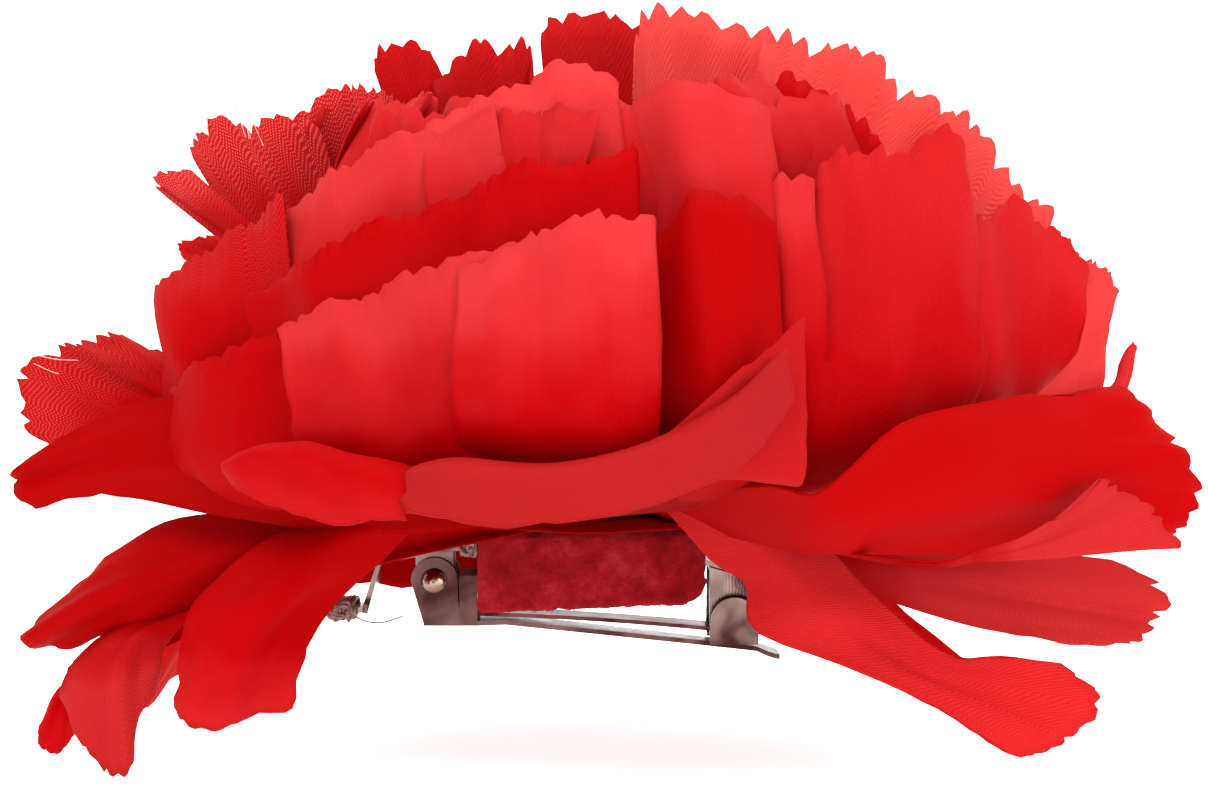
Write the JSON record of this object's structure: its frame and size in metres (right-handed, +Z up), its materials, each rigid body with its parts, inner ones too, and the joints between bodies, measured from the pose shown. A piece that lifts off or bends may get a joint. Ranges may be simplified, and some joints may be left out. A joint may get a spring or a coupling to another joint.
{
  "type": "flower hair clip",
  "caption": "Large frilled satin carnation on a sprung metal barrette, with felt backing, hinged clasp arm and a squeeze catch.",
  "frame": {"origin": "centre of the flower's footprint, level with the tips of the drooping petals it stands on", "axes": "+X along the barrette from hinge to catch, +Y away from the rivet's dome, +Z up through the flower"},
  "size_m": [0.132, 0.132, 0.0825],
  "materials": {
    "nickel_steel": "polished nickel plate",
    "rivet_steel": "polished",
    "spring_steel": "bright rolled",
    "felt": "matted wool felt",
    "hot_glue": "clear, slightly milky",
    "sewing_thread": "twisted",
    "petal_satin": "ribbed satin",
    "peg_plastic": "moulded"
  },
  "bodies": {
    "flower_base": {"base_plate": "nickel_steel", "hinge_rivet": "rivet_steel", "catch_frame": "nickel_steel", "felt_pad": "felt", "glue_pad": "hot_glue", "thread_wrap_left": "sewing_thread", "thread_wrap_hinge": "sewing_thread", "thread_wrap_right": "sewing_thread", "petal_layer_1_drooping": "petal_satin", "petal_layer_2_spread": "petal_satin", "petal_layer_3_low": "petal_satin", "petal_layer_4_middle": "petal_satin", "petal_layer_5_high": "petal_satin", "petal_layer_6_inner": "petal_satin", "petal_layer_7_bud": "petal_satin", "flower_peg": "peg_plastic", "peg_cap": "peg_plastic"},
    "clasp": {"clasp_arm": "nickel_steel"},
    "leaf": {"tension_bar": "spring_steel"},
    "wing_near": {"catch_wing_near": "nickel_steel"},
    "wing_far": {"catch_wing_far": "nickel_steel"}
  },
  "joints": [
    {"name": "clasp_hinge", "type": "hinge", "parent": "flower_base", "child": "clasp", "pos_m": [-0.0189, 0, 0.0205], "axis": [0, 1, 0], "range_deg": [0, 92]},
    {"name": "tension_bar_flex", "type": "hinge", "parent": "clasp", "child": "leaf", "pos_m": [-0.0155, 0, 0.0167], "axis": [0, 1, 0], "range_deg": [-3, 0], "stiffness_Nm_per_rad": 0.03},
    {"name": "wing_near_squeeze", "type": "hinge", "parent": "flower_base", "child": "wing_near", "pos_m": [0.0144, -0.0053, 0.0138], "axis": [-1, 0, 0], "range_deg": [0, 8], "stiffness_Nm_per_rad": 0.02},
    {"name": "wing_far_squeeze", "type": "hinge", "parent": "flower_base", "child": "wing_far", "pos_m": [0.0144, 0.0053, 0.0138], "axis": [1, 0, 0], "range_deg": [0, 8], "stiffness_Nm_per_rad": 0.02}
  ]
}
